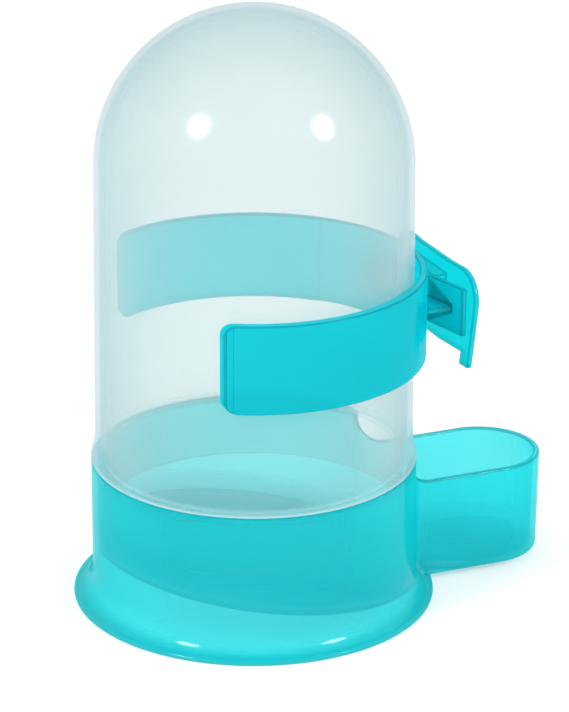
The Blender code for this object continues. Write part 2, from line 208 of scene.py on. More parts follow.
def turning_tree():
    """Geometry Nodes tree that turns a profile about the bottle's axis."""
    tree = bpy.data.node_groups.new("turned_wall", "GeometryNodeTree")
    ports = tree.interface
    ports.new_socket("Profile", in_out="INPUT", socket_type="NodeSocketGeometry")
    ports.new_socket("Around", in_out="INPUT", socket_type="NodeSocketInt")
    ports.new_socket("Along", in_out="INPUT", socket_type="NodeSocketInt")
    ports.new_socket("Plastic", in_out="INPUT", socket_type="NodeSocketMaterial")
    ports.new_socket("Geometry", in_out="OUTPUT", socket_type="NodeSocketGeometry")
    nodes = tree.nodes
    links = tree.links
    given = nodes.new("NodeGroupInput")
    result = nodes.new("NodeGroupOutput")

    def math_node(operation, first, second=None):
        node = nodes.new("ShaderNodeMath")
        node.operation = operation
        for socket, value in zip(node.inputs, (first, second)):
            if value is None:
                continue
            if isinstance(value, (int, float)):
                socket.default_value = value
            else:
                links.new(value, socket)
        return node.outputs[0]

    columns = math_node("ADD", given.outputs["Around"], 1)
    grid = nodes.new("GeometryNodeMeshGrid")
    links.new(columns, grid.inputs["Vertices X"])
    links.new(given.outputs["Along"], grid.inputs["Vertices Y"])
    index = nodes.new("GeometryNodeInputIndex").outputs[0]
    row = math_node("MODULO", index, given.outputs["Along"])
    column = math_node("FLOOR", math_node("DIVIDE", index, given.outputs["Along"]))
    turn = math_node("DIVIDE", math_node("MULTIPLY", column, -2 * math.pi), given.outputs["Around"])
    sample = nodes.new("GeometryNodeSampleIndex")
    sample.data_type = "FLOAT_VECTOR"
    sample.domain = "POINT"
    links.new(given.outputs["Profile"], sample.inputs["Geometry"])
    links.new(nodes.new("GeometryNodeInputPosition").outputs[0], sample.inputs["Value"])
    links.new(row, sample.inputs["Index"])
    split = nodes.new("ShaderNodeSeparateXYZ")
    links.new(sample.outputs[0], split.inputs[0])
    place = nodes.new("ShaderNodeCombineXYZ")
    links.new(math_node("MULTIPLY", split.outputs["X"], math_node("COSINE", turn)), place.inputs["X"])
    links.new(math_node("MULTIPLY", split.outputs["X"], math_node("SINE", turn)), place.inputs["Y"])
    links.new(split.outputs["Z"], place.inputs["Z"])
    move = nodes.new("GeometryNodeSetPosition")
    links.new(grid.outputs["Mesh"], move.inputs["Geometry"])
    links.new(place.outputs[0], move.inputs["Position"])
    weld = nodes.new("GeometryNodeMergeByDistance")
    weld.inputs["Distance"].default_value = TURN_WELD
    links.new(move.outputs[0], weld.inputs["Geometry"])
    realize = nodes.new("GeometryNodeRealizeInstances")
    links.new(weld.outputs[0], realize.inputs[0])
    paint = nodes.new("GeometryNodeSetMaterial")
    links.new(realize.outputs[0], paint.inputs["Geometry"])
    links.new(given.outputs["Plastic"], paint.inputs["Material"])
    links.new(paint.outputs[0], result.inputs[0])
    return tree


def link(name, mesh):
    item = bpy.data.objects.new(name, mesh)
    bpy.context.scene.collection.objects.link(item)
    return item


def settle(item):
    """Turns an object's modifiers into a plain mesh of its own."""
    bpy.context.view_layer.update()
    graph = bpy.context.evaluated_depsgraph_get()
    mesh = bpy.data.meshes.new_from_object(item.evaluated_get(graph))
    item.modifiers.clear()
    item.data = mesh
    return item


def turned(name, profile, plastic):
    """A closed shape turned from (radius, height) points that run down its outer side."""
    mesh = bpy.data.meshes.new(name)
    edges = [(index, index + 1) for index in range(len(profile) - 1)]
    mesh.from_pydata([(radius, 0.0, height) for radius, height in profile], edges, [])
    item = link(name, mesh)
    tree = bpy.data.node_groups.get("turned_wall") or turning_tree()
    modifier = item.modifiers.new("turn", "NODES")
    modifier.node_group = tree
    values = {"Around": AROUND, "Along": len(profile), "Plastic": plastic}
    for socket in tree.interface.items_tree:
        if socket.name in values and socket.in_out == "INPUT":
            modifier[socket.identifier] = values[socket.name]
    return settle(item)


def solid(name, shape):
    """An object from a closed bmesh, with its faces turned out."""
    bmesh.ops.recalc_face_normals(shape, faces=shape.faces)
    mesh = bpy.data.meshes.new(name)
    shape.to_mesh(mesh)
    shape.free()
    return link(name, mesh)


def lofted(name, loops):
    """A closed solid through loops that have as many points each."""
    shape = bmesh.new()
    rings = [[shape.verts.new(point) for point in loop] for loop in loops]
    shape.faces.new(rings[0])
    shape.faces.new(rings[-1])
    for low, high in zip(rings, rings[1:]):
        for index in range(len(low)):
            after = (index + 1) % len(low)
            shape.faces.new((low[index], low[after], high[after], high[index]))
    return solid(name, shape)


def grow(shape, offset):
    """Grows all faces of a bmesh into a solid along an offset."""
    grown = bmesh.ops.extrude_face_region(shape, geom=shape.faces[:])
    moved = [item for item in grown["geom"] if isinstance(item, bmesh.types.BMVert)]
    bmesh.ops.translate(shape, verts=moved, vec=offset)


def extruded(name, points, offset):
    """A solid from a flat outline and an offset."""
    shape = bmesh.new()
    shape.faces.new([shape.verts.new(point) for point in points])
    grow(shape, offset)
    return solid(name, shape)


def combine(item, others, operation):
    """Joins or cuts a piece with others, which are then removed."""
    for other in others:
        boolean = item.modifiers.new(other.name, "BOOLEAN")
        boolean.operation = operation
        boolean.solver = "EXACT"
        boolean.material_mode = "TRANSFER"
        boolean.object = other
    settle(item)
    for other in others:
        bpy.data.objects.remove(other)
    return item


# Bottle

def bottle_profile():
    """Half section of the bottle, down its outer side and up its inner side."""
    dome = TOTAL_HEIGHT - BOTTLE_RADIUS
    flare_bottom = LIP_BOTTOM + LIP_BAND_HEIGHT
    flare_top = flare_bottom + LIP_FLARE_HEIGHT
    wall_foot = BOTTLE_RADIUS + BOTTLE_DRAFT
    spigot_bottom = LIP_BOTTOM - SPIGOT_DEPTH
    points = arc((0.0, dome), BOTTLE_RADIUS, math.pi / 2, 0.0, DOME_STEPS)
    points[0] = (0.0, TOTAL_HEIGHT)
    points += spread(points[-1], (wall_foot, flare_top), WALL_STEPS)
    for step in range(1, LIP_STEPS + 1):
        share = step / LIP_STEPS
        radius = wall_foot + (COLLAR_RADIUS - wall_foot) * share * share
        points.append((radius, flare_top - LIP_FLARE_HEIGHT * share))
    corner = (COLLAR_RADIUS - LIP_ROUND, LIP_BOTTOM + LIP_ROUND)
    points += arc(corner, LIP_ROUND, 0.0, -math.pi / 2, EDGE_STEPS)
    points.append((SPIGOT_RADIUS + LIP_ROUND, LIP_BOTTOM))
    corner = (SPIGOT_RADIUS + LIP_ROUND, LIP_BOTTOM - LIP_ROUND)
    points += arc(corner, LIP_ROUND, math.pi / 2, math.pi, LIP_CORNER_STEPS)
    edge = (SPIGOT_RADIUS - SPIGOT_ROUND, spigot_bottom + SPIGOT_ROUND)
    points += spread(points[-1], (SPIGOT_RADIUS, edge[1]), EDGE_STEPS)
    points += arc(edge, SPIGOT_ROUND, 0.0, -math.pi / 2, EDGE_STEPS)[1:]
    inner = SPIGOT_RADIUS - BOTTLE_WALL
    points += arc((inner + SPIGOT_ROUND, edge[1]), SPIGOT_ROUND, -math.pi / 2, -math.pi, EDGE_STEPS)
    points += spread(points[-1], (inner, LIP_BOTTOM), EDGE_STEPS)
    top = (wall_foot - BOTTLE_WALL, flare_top)
    for step in range(1, RISE_STEPS + 1):
        share = step / RISE_STEPS
        ease = share * share * (3 - 2 * share)
        points.append((inner + (top[0] - inner) * ease, LIP_BOTTOM + (top[1] - LIP_BOTTOM) * share))
    points += spread(points[-1], (BOTTLE_RADIUS - BOTTLE_WALL, dome), WALL_STEPS)
    points += arc((0.0, dome), BOTTLE_RADIUS - BOTTLE_WALL, 0.0, math.pi / 2, DOME_STEPS)[1:]
    points[-1] = (0.0, TOTAL_HEIGHT - BOTTLE_WALL)
    return points


# Base

def flare(top_radius, edge_radius, edge_height, top_height):
    """Quarter of an ellipse, from an upright wall out to a level edge."""
    points = []
    for step in range(ARC_STEPS + 1):
        angle = math.pi / 2 * step / ARC_STEPS
        radius = top_radius + (edge_radius - top_radius) * (1 - math.cos(angle))
        points.append((radius, top_height - (top_height - edge_height) * math.sin(angle)))
    return points


def foot_profile():
    """Half section of collar and foot as one block."""
    rounding = FOOT_EDGE_HEIGHT / 2
    edge = FOOT_RADIUS - rounding
    points = [(0.0, COLLAR_HEIGHT), (COLLAR_RADIUS, COLLAR_HEIGHT)]
    points += flare(COLLAR_RADIUS, edge, FOOT_EDGE_HEIGHT, FOOT_FLARE_HEIGHT)
    points += arc((edge, rounding), rounding, math.pi / 2, -math.pi / 2, FOOT_EDGE_STEPS)[1:]
    points.append((0.0, 0.0))
    return points


def hollow_profile():
    """Half section of the space inside collar and foot."""
    collar = COLLAR_RADIUS - COLLAR_WALL
    mouth = FOOT_RADIUS - FOOT_EDGE_WIDTH
    points = [(0.0, COLLAR_HEIGHT), (collar, COLLAR_HEIGHT)]
    points += flare(collar, mouth, 0.0, FOOT_FLARE_HEIGHT - FOOT_EDGE_HEIGHT)
    points += [(mouth, -CUT_MARGIN), (0.0, -CUT_MARGIN)]
    return points


def cup_size(height, inset):
    """Half width and reach of the cup at a height, drawn in by an inset."""
    drawn_in = math.tan(CUP_DRAFT) * (CUP_RIM_HEIGHT - height) + inset
    return CUP_WIDTH / 2 - drawn_in, CUP_REACH - drawn_in


def cup_outline(collar_radius, half_width, reach, blend):
    """Outline of the cup from above, blended into the collar at both sides."""
    blend_x = math.sqrt((collar_radius + blend) ** 2 - (half_width + blend) ** 2)
    blend_y = half_width + blend
    meets = math.atan2(blend_y, blend_x)
    near = arc((blend_x, -blend_y), blend, math.pi - meets, math.pi / 2)
    end = arc((reach - half_width, 0.0), half_width, -math.pi / 2, math.pi / 2, 4 * ARC_STEPS)
    far = arc((blend_x, blend_y), blend, -math.pi / 2, meets - math.pi)
    return near + end + far


def cup_body():
    """Cup with a rounded bottom edge, carried back into the collar."""
    levels = []
    for step in range(EDGE_STEPS + 1):
        angle = math.pi / 2 * step / EDGE_STEPS
        rise = CUP_BOTTOM_ROUND * (1 - math.cos(angle))
        levels.append((CUP_CLEAR_OF_GROUND + rise, CUP_BOTTOM_ROUND * (1 - math.sin(angle))))
    levels.append((COLLAR_HEIGHT, 0.0))
    loops = []
    for height, inset in levels:
        half_width, reach = cup_size(height, inset)
        outline = cup_outline(COLLAR_RADIUS, half_width, reach, CUP_BLEND_RADIUS)
        root = COLLAR_RADIUS / 2
        outline += [(root, half_width), (root, -half_width)]
        loops.append([(x, y, height) for x, y in outline])
    return lofted("cup_body", loops)


def floor_block(name, above):
    """A large block over the sloping floor's underside, or under its top."""
    size = 6 * COLLAR_RADIUS
    normal = Vector(FLOOR_NORMAL)
    fold = Vector((FLOOR_FOLD_REACH, 0.0, CUP_FLOOR_TOP))
    centre = fold + normal * (size / 2 - FLOOR_THICKNESS) if above else fold - normal * size / 2
    shape = bmesh.new()
    turn = Matrix.Translation(centre) @ Matrix.Rotation(FLOOR_SLOPE, 4, "Y")
    bmesh.ops.create_cube(shape, size=size, matrix=turn)
    return solid(name, shape)


def water_space():
    """The room for water in collar, throat and cup."""
    inner = COLLAR_RADIUS - COLLAR_WALL
    loops = []
    for height in (CUP_FLOOR_TOP, COLLAR_HEIGHT + CUT_MARGIN):
        half_width, reach = cup_size(height, CUP_WALL)
        outline = cup_outline(inner, half_width, reach, CUP_BLEND_RADIUS + CUP_WALL)
        start = math.atan2(outline[-1][1], outline[-1][0])
        back = arc((0.0, 0.0), inner, start, 2 * math.pi - start, AROUND)
        loops.append([(x, y, height) for x, y in outline + back[1:-1]])
    space = lofted("water_space", loops)
    return combine(space, [floor_block("below_floor", False)], "DIFFERENCE")


def rim_cut(marker):
    """What is cut away above the cup, with the sweep from collar to rim."""
    half_width, reach = cup_size(CUP_RIM_HEIGHT, 0.0)
    outline = cup_outline(COLLAR_RADIUS, half_width, reach, CUP_BLEND_RADIUS)
    start = outline[0][0] - CUP_WALL / 4
    top = COLLAR_HEIGHT + CUT_MARGIN
    side = COLLAR_RADIUS
    centre = (start + CUP_RIM_SWEEP, CUP_RIM_HEIGHT + CUP_RIM_SWEEP)
    profile = [(start, top)] + arc(centre, CUP_RIM_SWEEP, math.pi, math.pi * 1.5, RIM_SWEEP_STEPS)
    profile += [(CUP_REACH + CUT_MARGIN, CUP_RIM_HEIGHT), (CUP_REACH + CUT_MARGIN, top)]
    cut = extruded("rim_cut", [(x, -side, z) for x, z in profile], (0.0, 2 * side, 0.0))
    cut.data.materials.append(marker)
    return cut


def round_rim(item, marker_index):
    """Rounds both edges of the rim that the rim cut left."""
    shape = bmesh.new()
    shape.from_mesh(item.data)
    bmesh.ops.remove_doubles(shape, verts=shape.verts[:], dist=SEAM_WELD)
    rounded = shape.faces.layers.float.new(ROUNDED)
    edges = []
    for edge in shape.edges:
        if len(edge.link_faces) != 2:
            continue
        first, second = edge.link_faces
        if (first.material_index == marker_index) != (second.material_index == marker_index):
            edges.append(edge)
    rounding = bmesh.ops.bevel(shape, geom=edges, offset=RIM_ROUND, offset_type="OFFSET",
                               segments=RIM_ROUND_STEPS, profile=0.5, affect="EDGES",
                               clamp_overlap=False, loop_slide=True)
    for face in rounding["faces"]:
        face[rounded] = 1.0
    for face in shape.faces:
        face.material_index = 0
    shape.to_mesh(item.data)
    shape.free()


def finish_piece(item, plastic, node, body):
    """Smooth shading, the piece's place on the bottle's axis, its plastic and its CAD node."""
    item.data.materials.clear()
    item.data.materials.append(plastic)
    item.data.transform(Matrix.Translation((AXIS_X, 0.0, 0.0)))
    item.data.polygons.foreach_set("use_smooth", [True] * len(item.data.polygons))
    item.data.set_sharp_from_angle(angle=SHARP_FROM)
    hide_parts(node)
    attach(item, body)
    return item


def make_bottle(plastic):
    bottle = turned("bottle_wall", bottle_profile(), plastic)
    return finish_piece(bottle, plastic, "bottle", "bottle")


def make_base(plastic):
    marker = bpy.data.materials.new("rim_marker")
    base = turned("base_moulding", foot_profile(), plastic)
    hollow = turned("foot_hollow", hollow_profile(), plastic)
    combine(hollow, [floor_block("above_floor", True)], "DIFFERENCE")
    combine(base, [cup_body()], "UNION")
    combine(base, [rim_cut(marker), water_space(), hollow], "DIFFERENCE")
    names = [material.name if material else "" for material in base.data.materials]
    round_rim(base, names.index(marker.name))
    finish_piece(base, plastic, "base", "base")
    bpy.data.materials.remove(marker)
    return base


# Clip

def clip_ring(plastic):
    profile = [(CLIP_INNER_RADIUS, CLIP_TOP), (CLIP_OUTER_RADIUS, CLIP_TOP)]
    profile += [(CLIP_OUTER_RADIUS, CLIP_BOTTOM), (CLIP_INNER_RADIUS, CLIP_BOTTOM)]
    profile.append((CLIP_INNER_RADIUS, CLIP_TOP))
    return turned("spring_clip", profile, plastic)


def clip_opening():
    """What is cut out of the ring's back, with the round corners of the arm tips."""
    tip = CLIP_ROOT_RADIUS * math.cos(CLIP_ARM_ANGLE)
    inner = tip + CLIP_CORNER_RADIUS
    back = -CLIP_OUTER_RADIUS - CUT_MARGIN
    side = CLIP_OUTER_RADIUS + CUT_MARGIN
    profile = [(back, CLIP_BOTTOM - CUT_MARGIN), (inner, CLIP_BOTTOM - CUT_MARGIN)]
    profile += arc((inner, CLIP_BOTTOM + CLIP_CORNER_RADIUS), CLIP_CORNER_RADIUS, math.pi * 1.5, math.pi)
    profile += arc((inner, CLIP_TOP - CLIP_CORNER_RADIUS), CLIP_CORNER_RADIUS, math.pi, math.pi / 2)
    profile += [(inner, CLIP_TOP + CUT_MARGIN), (back, CLIP_TOP + CUT_MARGIN)]
    return extruded("clip_opening", [(x, -side, z) for x, z in profile], (0.0, 2 * side, 0.0))


def upright(name, outline, low, high):
    return extruded(name, [(x, y, low) for x, y in outline], (0.0, 0.0, high - low))


def clip_relief():
    """What is thinned away inside the ring beside its neck."""
    outer = CLIP_INNER_RADIUS + RELIEF_DEPTH
    inner = CLIP_INNER_RADIUS - CUT_MARGIN / 2
    outline = arc((0.0, 0.0), outer, -RELIEF_ANGLE, RELIEF_ANGLE, RELIEF_STEPS)
    outline += arc((0.0, 0.0), inner, RELIEF_ANGLE, -RELIEF_ANGLE, RELIEF_STEPS)
    return upright("clip_relief", outline, CLIP_BOTTOM - CUT_MARGIN, CLIP_TOP + CUT_MARGIN)


def hook_face(height):
    """Distance of the leaning hook plate's inner face from the bottle's axis."""
    return HOOK_FACE + math.tan(HOOK_TILT) * (height - CLIP_MIDDLE)


def flange_face(width):
    """Distance of the swept flange's near face from the bottle's axis."""
    return FLANGE_FACE + math.tan(FLANGE_SWEEP) * max(0.0, width - NECK_WIDTH / 2)


def ring_root(half_width):
    reach = math.asin(half_width / CLIP_ROOT_RADIUS)
    return arc((0.0, 0.0), CLIP_ROOT_RADIUS, -reach, reach)


def clip_neck():
    loops = []
    for height in (CLIP_MIDDLE - NECK_HEIGHT / 2, CLIP_MIDDLE + NECK_HEIGHT / 2):
        end = hook_face(height) + HOOK_THICKNESS / 2
        outline = ring_root(NECK_WIDTH / 2) + [(end, NECK_WIDTH / 2), (end, -NECK_WIDTH / 2)]
        loops.append([(x, y, height) for x, y in outline])
    return lofted("clip_neck", loops)


def clip_flange():
    stations = (-FLANGE_WIDTH / 2, -NECK_WIDTH / 2, NECK_WIDTH / 2, FLANGE_WIDTH / 2)
    face = [(flange_face(abs(y)), y) for y in stations]
    back = [(x + FLANGE_THICKNESS, y) for x, y in reversed(face)]
    low = CLIP_MIDDLE - FLANGE_HEIGHT / 2
    return upright("clip_flange", face + back, low, low + FLANGE_HEIGHT)


def clip_gusset():
    stations = (GUSSET_WIDTH / 2, NECK_WIDTH / 2, -NECK_WIDTH / 2, -GUSSET_WIDTH / 2)
    outline = ring_root(GUSSET_WIDTH / 2)
    outline += [(flange_face(abs(y)) + FLANGE_THICKNESS / 2, y) for y in stations]
    low = CLIP_MIDDLE - GUSSET_THICKNESS / 2
    return upright("clip_gusset", outline, low, low + GUSSET_THICKNESS)


def hook_outline():
    half_width = HOOK_WIDTH / 2
    top = CLIP_MIDDLE + HOOK_RISE
    bottom = CLIP_MIDDLE - HOOK_DROP
    leg = half_width - HOOK_LEG_WIDTH
    corner = (half_width - HOOK_CORNER_RADIUS, top - HOOK_CORNER_RADIUS)
    half = [(leg, bottom), (leg, bottom - HOOK_LEG_DROP), (half_width, bottom - HOOK_LEG_DROP)]
    half += arc(corner, HOOK_CORNER_RADIUS, 0.0, math.pi / 2)
    return half + [(-y, z) for y, z in reversed(half)]


def clip_hook():
    shape = bmesh.new()
    shape.faces.new([shape.verts.new((0.0, y, z)) for y, z in hook_outline()])
    fold = NECK_WIDTH / 2
    for side in (-1.0, 1.0):
        geometry = shape.verts[:] + shape.edges[:] + shape.faces[:]
        bmesh.ops.bisect_plane(shape, geom=geometry, plane_co=(0.0, side * fold, 0.0),
                               plane_no=(0.0, 1.0, 0.0))
    for vertex in shape.verts:
        bend = math.tan(HOOK_SWEEP) * max(0.0, abs(vertex.co.y) - fold)
        vertex.co.x = hook_face(vertex.co.z) + bend
    grow(shape, (HOOK_THICKNESS, 0.0, 0.0))
    return solid("clip_hook", shape)


def edge_marks(mesh, marker_index):
    """1 for the rounded edges that show, 0 for flat faces and for upright edges inside the ring."""
    middle = CLIP_INNER_RADIUS + CLIP_THICKNESS / 2
    marks = []
    for face in mesh.polygons:
        outside = math.hypot(face.center.x, face.center.y) > middle
        level = abs(face.normal.z) > LEVEL_SHARE
        marks.append(float(face.material_index == marker_index and (outside or level)))
    return marks


def make_clip(plastic):
    clip = clip_ring(plastic)
    combine(clip, [clip_opening(), clip_relief()], "DIFFERENCE")
    combine(clip, [clip_neck(), clip_gusset(), clip_flange(), clip_hook()], "UNION")
    shape = bmesh.new()
    shape.from_mesh(clip.data)
    bmesh.ops.remove_doubles(shape, verts=shape.verts[:], dist=SEAM_WELD)
    shape.to_mesh(clip.data)
    shape.free()
    marker = bpy.data.materials.new("edge_marker")
    clip.data.materials.clear()
    clip.data.materials.append(plastic)
    clip.data.materials.append(marker)
    bevel = clip.modifiers.new("edges", "BEVEL")
    bevel.width = CLIP_ROUND
    bevel.segments = CLIP_ROUND_STEPS
    bevel.limit_method = "ANGLE"
    bevel.angle_limit = ROUND_FROM
    bevel.use_clamp_overlap = False
    bevel.material = MARKER_SLOT
    settle(clip)
    rounded = clip.data.attributes.new(ROUNDED, "FLOAT", "FACE")
    rounded.data.foreach_set("value", edge_marks(clip.data, MARKER_SLOT))
    finish_piece(clip, plastic, "clip", "clip")
    bpy.data.materials.remove(marker)
    return clip


# Plastics

def stops_from(level, *stops):
    """(distance, value) stops, given by their distances from a level."""
    return tuple((level + offset, value) for offset, value in stops)


def along(nodes, links, place, direction, stops):
    """A value that follows the distance along a direction, from (distance, value) stops."""
    reach = nodes.new("ShaderNodeVectorMath")
    reach.operation = "DOT_PRODUCT"
    reach.inputs[1].default_value = direction
    links.new(place, reach.inputs[0])
    start = stops[0][0]
    end = stops[-1][0]
    scale = nodes.new("ShaderNodeMapRange")
    scale.inputs["From Min"].default_value = start
    scale.inputs["From Max"].default_value = end
    links.new(reach.outputs["Value"], scale.inputs["Value"])
    ramp = nodes.new("ShaderNodeValToRGB")
    elements = ramp.color_ramp.elements
    while len(elements) < len(stops):
        elements.new(0.5)
    for element, (distance, value) in zip(elements, stops):
        element.position = (distance - start) / (end - start)
        element.color = (value, value, value, 1.0)
    links.new(scale.outputs["Result"], ramp.inputs["Fac"])
    return ramp.outputs["Color"]


def mixed_colour(nodes, links, factor, first, second):
    """Goes over from a first colour to a second one with a factor."""
    blend = nodes.new("ShaderNodeMix")
    blend.data_type = "RGBA"
    links.new(factor, blend.inputs["Factor"])
    links.new(first, blend.inputs["A"])
    blend.inputs["B"].default_value = (*second, 1.0)
    return blend.outputs["Result"]


def at_least(nodes, links, value, factor, most):
    """The larger of a value and a share of the factor."""
    part = nodes.new("ShaderNodeMath")
    part.operation = "MULTIPLY"
    part.inputs[1].default_value = most
    links.new(factor, part.inputs[0])
    larger = nodes.new("ShaderNodeMath")
    larger.operation = "MAXIMUM"
    links.new(value, larger.inputs[0])
    links.new(part.outputs[0], larger.inputs[1])
    return larger.outputs[0]


def mixed_shader(nodes, links, first, second):
    """Mix of two shaders; returns the factor's input and the mix."""
    mix = nodes.new("ShaderNodeMixShader")
    links.new(first, mix.inputs[1])
    links.new(second, mix.inputs[2])
    return mix.inputs["Fac"], mix.outputs[0]


def noise(nodes, links, place, scale, detail):
    node = nodes.new("ShaderNodeTexNoise")
    node.inputs["Scale"].default_value = scale
    node.inputs["Detail"].default_value = detail
    links.new(place, node.inputs["Vector"])
    return node.outputs["Fac"]


def clouded(nodes, links, place, colour):
    """A colour that wanders a little over the piece."""
    shade = nodes.new("ShaderNodeValToRGB")
    for element, position, way in zip(shade.color_ramp.elements, CLOUD_RANGE, (-1, 1)):
        element.position = position
        element.color = (*[value * (1 + way * CLOUD_DEPTH) for value in colour], 1.0)
    links.new(noise(nodes, links, place, CLOUD_SCALE, CLOUD_DETAIL), shade.inputs["Fac"])
    return shade.outputs["Color"]


def uneven(nodes, links, place, roughness):
    """A roughness with fine specks."""
    gloss = nodes.new("ShaderNodeMapRange")
    gloss.inputs["To Min"].default_value = roughness * (1 - SPECK_SPREAD)
    gloss.inputs["To Max"].default_value = roughness * (1 + SPECK_SPREAD)
    links.new(noise(nodes, links, place, SPECK_SCALE, SPECK_DETAIL), gloss.inputs["Value"])
    return gloss.outputs["Result"]


def flow_waves(nodes, links, place):
    """Normals of faint waves that run up the surface."""
    stretch = nodes.new("ShaderNodeMapping")
    stretch.inputs["Scale"].default_value = FLOW_STRETCH
    links.new(place, stretch.inputs["Vector"])
    bump = nodes.new("ShaderNodeBump")
    bump.inputs["Strength"].default_value = FLOW_STRENGTH
    bump.inputs["Distance"].default_value = FLOW_HEIGHT
    flow = noise(nodes, links, stretch.outputs["Vector"], FLOW_SCALE, FLOW_DETAIL)
    links.new(flow, bump.inputs["Height"])
    return bump.outputs["Normal"]


def edge_on(nodes, links):
    """0 where the wall is seen straight on, 1 where it is seen edge on."""
    facing = nodes.new("ShaderNodeLayerWeight")
    facing.inputs["Blend"].default_value = EDGE_BLEND
    edge = nodes.new("ShaderNodeMath")
    edge.operation = "POWER"
    edge.inputs[1].default_value = EDGE_POWER
    links.new(facing.outputs["Facing"], edge.inputs[0])
    return edge.outputs[0]


def plastic_material(name, look):
    """Thin see-through plastic: part passes light with a tint, part scatters it back or onward.

    The scattering share and colours change where the wall is seen edge on, where the moulding is
    thick, where light and shade are painted in, and on rounded edges. The painted light is a lighter
    top face on the clip, standing in for light from above. The painted shade lies at the base's collar
    top under the bottle's lip, along the base's floor and up its walls, and on the clip's neck, flange
    and hook. The scattering colour is slightly clouded, the gloss is uneven and faint flow waves run
    up the surface.
    """
    material = bpy.data.materials.new(name)
    material.use_nodes = True
    nodes = material.node_tree.nodes
    links = material.node_tree.links
    place = nodes.new("ShaderNodeTexCoord").outputs["Object"]
    # Thicker moulding, and painted light: a lighter top face on the clip standing in for light from
    # above, and painted shade along the base's collar top under the bottle's lip
    thickness_and_painted_light = along(nodes, links, place, UPWARD, look["thickness_and_painted_light"])
    # Painted shade: along the base's floor and up its walls, and on the clip's neck, flange and hook
    painted_shade = along(nodes, links, place, look["painted_shade_way"], look["painted_shade"])
    edge = edge_on(nodes, links)
    mark = nodes.new("ShaderNodeAttribute")
    mark.attribute_name = ROUNDED
    rounded = mark.outputs["Fac"]
    gloss = uneven(nodes, links, place, look["roughness"])
    waves = flow_waves(nodes, links, place)

    body = clouded(nodes, links, place, look["body"])
    # The scattering colour takes in the thicker moulding with its painted light, then the painted shade
    body = mixed_colour(nodes, links, thickness_and_painted_light, body, look["thickness_and_painted_light_body"])
    body = mixed_colour(nodes, links, painted_shade, body, look["painted_shade_body"])
    body = mixed_colour(nodes, links, edge, body, look["edge_body"])
    body = mixed_colour(nodes, links, rounded, body, look["rounded_body"])
    back = nodes["Principled BSDF"]
    back.inputs["Specular IOR Level"].default_value = BODY_SHINE
    links.new(body, back.inputs["Base Color"])
    links.new(gloss, back.inputs["Roughness"])
    links.new(waves, back.inputs["Normal"])

    glow = nodes.new("ShaderNodeRGB").outputs[0]
    glow.default_value = (*look["glow_body"], 1.0)
    # The onward glow takes in the same thicker moulding with its painted light, then the painted shade
    glow = mixed_colour(nodes, links, thickness_and_painted_light, glow, look["thickness_and_painted_light_glow"])
    glow = mixed_colour(nodes, links, painted_shade, glow, look["painted_shade_glow"])
    glow = mixed_colour(nodes, links, rounded, glow, look["rounded_body"])
    onward = nodes.new("ShaderNodeBsdfTranslucent")
    links.new(glow, onward.inputs["Color"])

    plain_share = along(nodes, links, place, UPWARD, look["share"])
    # More scattering where shade is painted
    plain_share = at_least(nodes, links, plain_share, painted_shade, look["painted_shade_share"])
    plain_share = at_least(nodes, links, plain_share, rounded, look["rounded_share"])
    share = nodes.new("ShaderNodeMapRange")
    share.inputs["To Max"].default_value = look["edge_share"]
    links.new(plain_share, share.inputs["To Min"])
    links.new(edge, share.inputs["Value"])

    clear = nodes.new("ShaderNodeBsdfTransparent")
    clear.inputs["Color"].default_value = (*look["tint"], 1.0)
    mirror = nodes.new("ShaderNodeBsdfGlossy")
    links.new(gloss, mirror.inputs["Roughness"])
    links.new(waves, mirror.inputs["Normal"])

    onward_share, scatter = mixed_shader(nodes, links, back.outputs[0], onward.outputs[0])
    onward_share.default_value = look["glow_share"]
    scatter_share, wall = mixed_shader(nodes, links, clear.outputs[0], scatter)
    links.new(share.outputs["Result"], scatter_share)
    mirror_share, surface = mixed_shader(nodes, links, wall, mirror.outputs[0])
    mirror_share.default_value = look["gloss"]
    links.new(surface, nodes["Material Output"].inputs["Surface"])
    return material


# Looks of the plastics: colours, shares of light, and stops of (height or distance, value)

# No painted shade, for the bottle
NO_PAINTED_SHADE = ((0.0, 0.0), (0.1, 0.0))
FROSTED_LOOK = {
    "body": (0.45, 0.57, 0.56),
    "glow_body": (0.62, 0.78, 0.80),
    "glow_share": 0.25,
    "tint": (0.965, 0.98, 0.98),
    "roughness": 0.12,
    "gloss": 0.02,
    "edge_body": (0.31, 0.43, 0.48),
    "edge_share": 0.72,
    "share": stops_from(LIP_BOTTOM, (-0.0175, 0.06), (-0.0004, 0.06), (-0.0001, 0.45),
                        (0.0005, 0.45), (0.0015, 0.15), (0.0125, 0.13)),
    "thickness_and_painted_light": stops_from(LIP_BOTTOM, (-0.0175, 0.3), (-0.0004, 0.3), (-0.0001, 1.0),
                        (0.0005, 1.0), (0.0017, 0.0), (0.0125, 0.0)),
    "thickness_and_painted_light_body": (0.66, 0.84, 0.87),
    "thickness_and_painted_light_glow": (0.62, 0.78, 0.80),
    "painted_shade": NO_PAINTED_SHADE,
    "painted_shade_way": UPWARD,
    "painted_shade_body": (0.45, 0.57, 0.56),
    "painted_shade_glow": (0.62, 0.78, 0.80),
    "painted_shade_share": 0.0,
    "rounded_body": (0.45, 0.57, 0.56),
    "rounded_share": 0.0,
}
